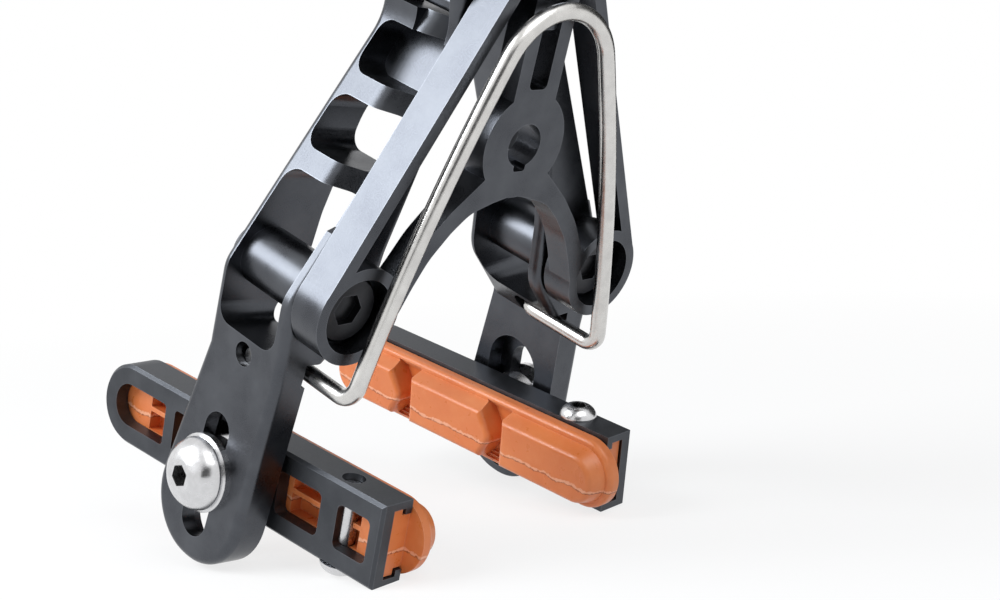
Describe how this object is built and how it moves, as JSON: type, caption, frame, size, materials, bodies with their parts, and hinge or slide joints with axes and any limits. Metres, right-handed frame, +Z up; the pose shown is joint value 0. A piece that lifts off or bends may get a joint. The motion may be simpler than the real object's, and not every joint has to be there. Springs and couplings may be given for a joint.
{
  "type": "bicycle rim brake",
  "caption": "Lightweight dual-pivot bicycle rim brake: slim frame, skeleton arms with bolted rubber pads, bent-wire return spring and cable-pulled cam that squeezes the pads together.",
  "frame": {"origin": "centre of the mounting-bolt hole, on the frame's mounting face", "axes": "+Z up, -Y out of the mounting face towards the bicycle's fork, X across with the right arm at +X"},
  "size_m": [0.0739, 0.0616, 0.1104],
  "materials": {
    "black_anodised": "satin black anodised",
    "black_blasted": "bead-blasted black anodised",
    "black_steel": "blackened steel",
    "bright_steel": "bright stainless",
    "stainless_wire": "polished wire",
    "bush_bronze": "plain bearing bronze",
    "pad_rubber": "moulded orange compound"
  },
  "bodies": {
    "frame": {"bridge_frame": "black_anodised", "return_spring": "stainless_wire", "adjuster_lock_ring": "black_anodised", "left_pivot_bolt": "black_steel", "left_pivot_nut": "black_steel", "left_front_thrust_washer": "bright_steel", "left_rear_thrust_washer": "bright_steel", "right_pivot_bolt": "black_steel", "right_pivot_nut": "black_steel", "right_front_thrust_washer": "bright_steel", "right_rear_thrust_washer": "bright_steel"},
    "cam": {"cable_cam": "black_anodised", "cable_anchor_bolt": "bright_steel"},
    "adjuster": {"barrel_adjuster": "black_anodised"},
    "left_arm_body": {"left_arm": "black_anodised", "left_front_bush": "bush_bronze", "left_rear_bush": "bush_bronze", "left_roller_pin": "bright_steel"},
    "left_roller_body": {"left_cam_roller": "bright_steel"},
    "left_bolt_body": {"left_pad_bolt": "bright_steel", "left_bolt_washer": "bright_steel", "left_seat_washer": "bright_steel"},
    "left_shoe_body": {"left_pad_holder": "black_blasted", "left_brake_pad": "pad_rubber", "left_pad_screw": "bright_steel", "left_domed_washer": "bright_steel"},
    "right_arm_body": {"right_arm": "black_anodised", "right_front_bush": "bush_bronze", "right_rear_bush": "bush_bronze", "right_roller_pin": "bright_steel"},
    "right_roller_body": {"right_cam_roller": "bright_steel"},
    "right_bolt_body": {"right_pad_bolt": "bright_steel", "right_bolt_washer": "bright_steel", "right_seat_washer": "bright_steel"},
    "right_shoe_body": {"right_pad_holder": "black_blasted", "right_brake_pad": "pad_rubber", "right_pad_screw": "bright_steel", "right_domed_washer": "bright_steel"}
  },
  "joints": [
    {"name": "left_arm_pivot", "type": "hinge", "parent": "frame", "child": "left_arm_body", "pos_m": [-0.0238, 0.0135, -0.022], "axis": [0, -1, 0], "range_deg": [0, 6], "stiffness_Nm_per_rad": 0.6, "springref_deg": -28.65, "deforming": ["return_spring"]},
    {"name": "right_arm_pivot", "type": "hinge", "parent": "frame", "child": "right_arm_body", "pos_m": [0.0238, 0.0135, -0.022], "axis": [0, 1, 0], "range_deg": [0, 6], "stiffness_Nm_per_rad": 0.6, "springref_deg": -28.65, "deforming": ["return_spring"]},
    {"name": "left_pad_height", "type": "slide", "parent": "left_arm_body", "child": "left_bolt_body", "axis": [0.1063, 0, 0.9943], "range_m": [-0.0071, 0.0063]},
    {"name": "left_pad_angle", "type": "hinge", "parent": "left_bolt_body", "child": "left_shoe_body", "pos_m": [-0.0263, 0.0147, -0.052], "axis": [-0.9943, 0, 0.1063], "range_deg": [-10, 10]},
    {"name": "left_roller_spin", "type": "hinge", "parent": "left_arm_body", "child": "left_roller_body", "pos_m": [-0.008, 0.0135, 0.02137], "axis": [0, 1, 0], "continuous": true},
    {"name": "right_pad_height", "type": "slide", "parent": "right_arm_body", "child": "right_bolt_body", "axis": [-0.1063, 0, 0.9943], "range_m": [-0.0063, 0.0071]},
    {"name": "right_pad_angle", "type": "hinge", "parent": "right_bolt_body", "child": "right_shoe_body", "pos_m": [0.02639, 0.0147, -0.0528], "axis": [0.9943, 0, 0.1063], "range_deg": [-10, 10]},
    {"name": "right_roller_spin", "type": "hinge", "parent": "right_arm_body", "child": "right_roller_body", "pos_m": [0.008, 0.0135, 0.02137], "axis": [0, 1, 0], "continuous": true},
    {"name": "cam_pull", "type": "slide", "parent": "frame", "child": "cam", "axis": [0, 0, 1], "range_m": [0, 0.00604]},
    {"name": "adjuster_turn", "type": "hinge", "parent": "frame", "child": "adjuster", "pos_m": [0, 0.0135, 0.04], "axis": [0, 0, 1], "continuous": true}
  ],
  "couplings": [
    {"joint": "right_arm_pivot", "follows": "left_arm_pivot", "ratio": 1},
    {"joint": "cam_pull", "follows": "left_arm_pivot", "m_per_rad": 0.057614}
  ]
}
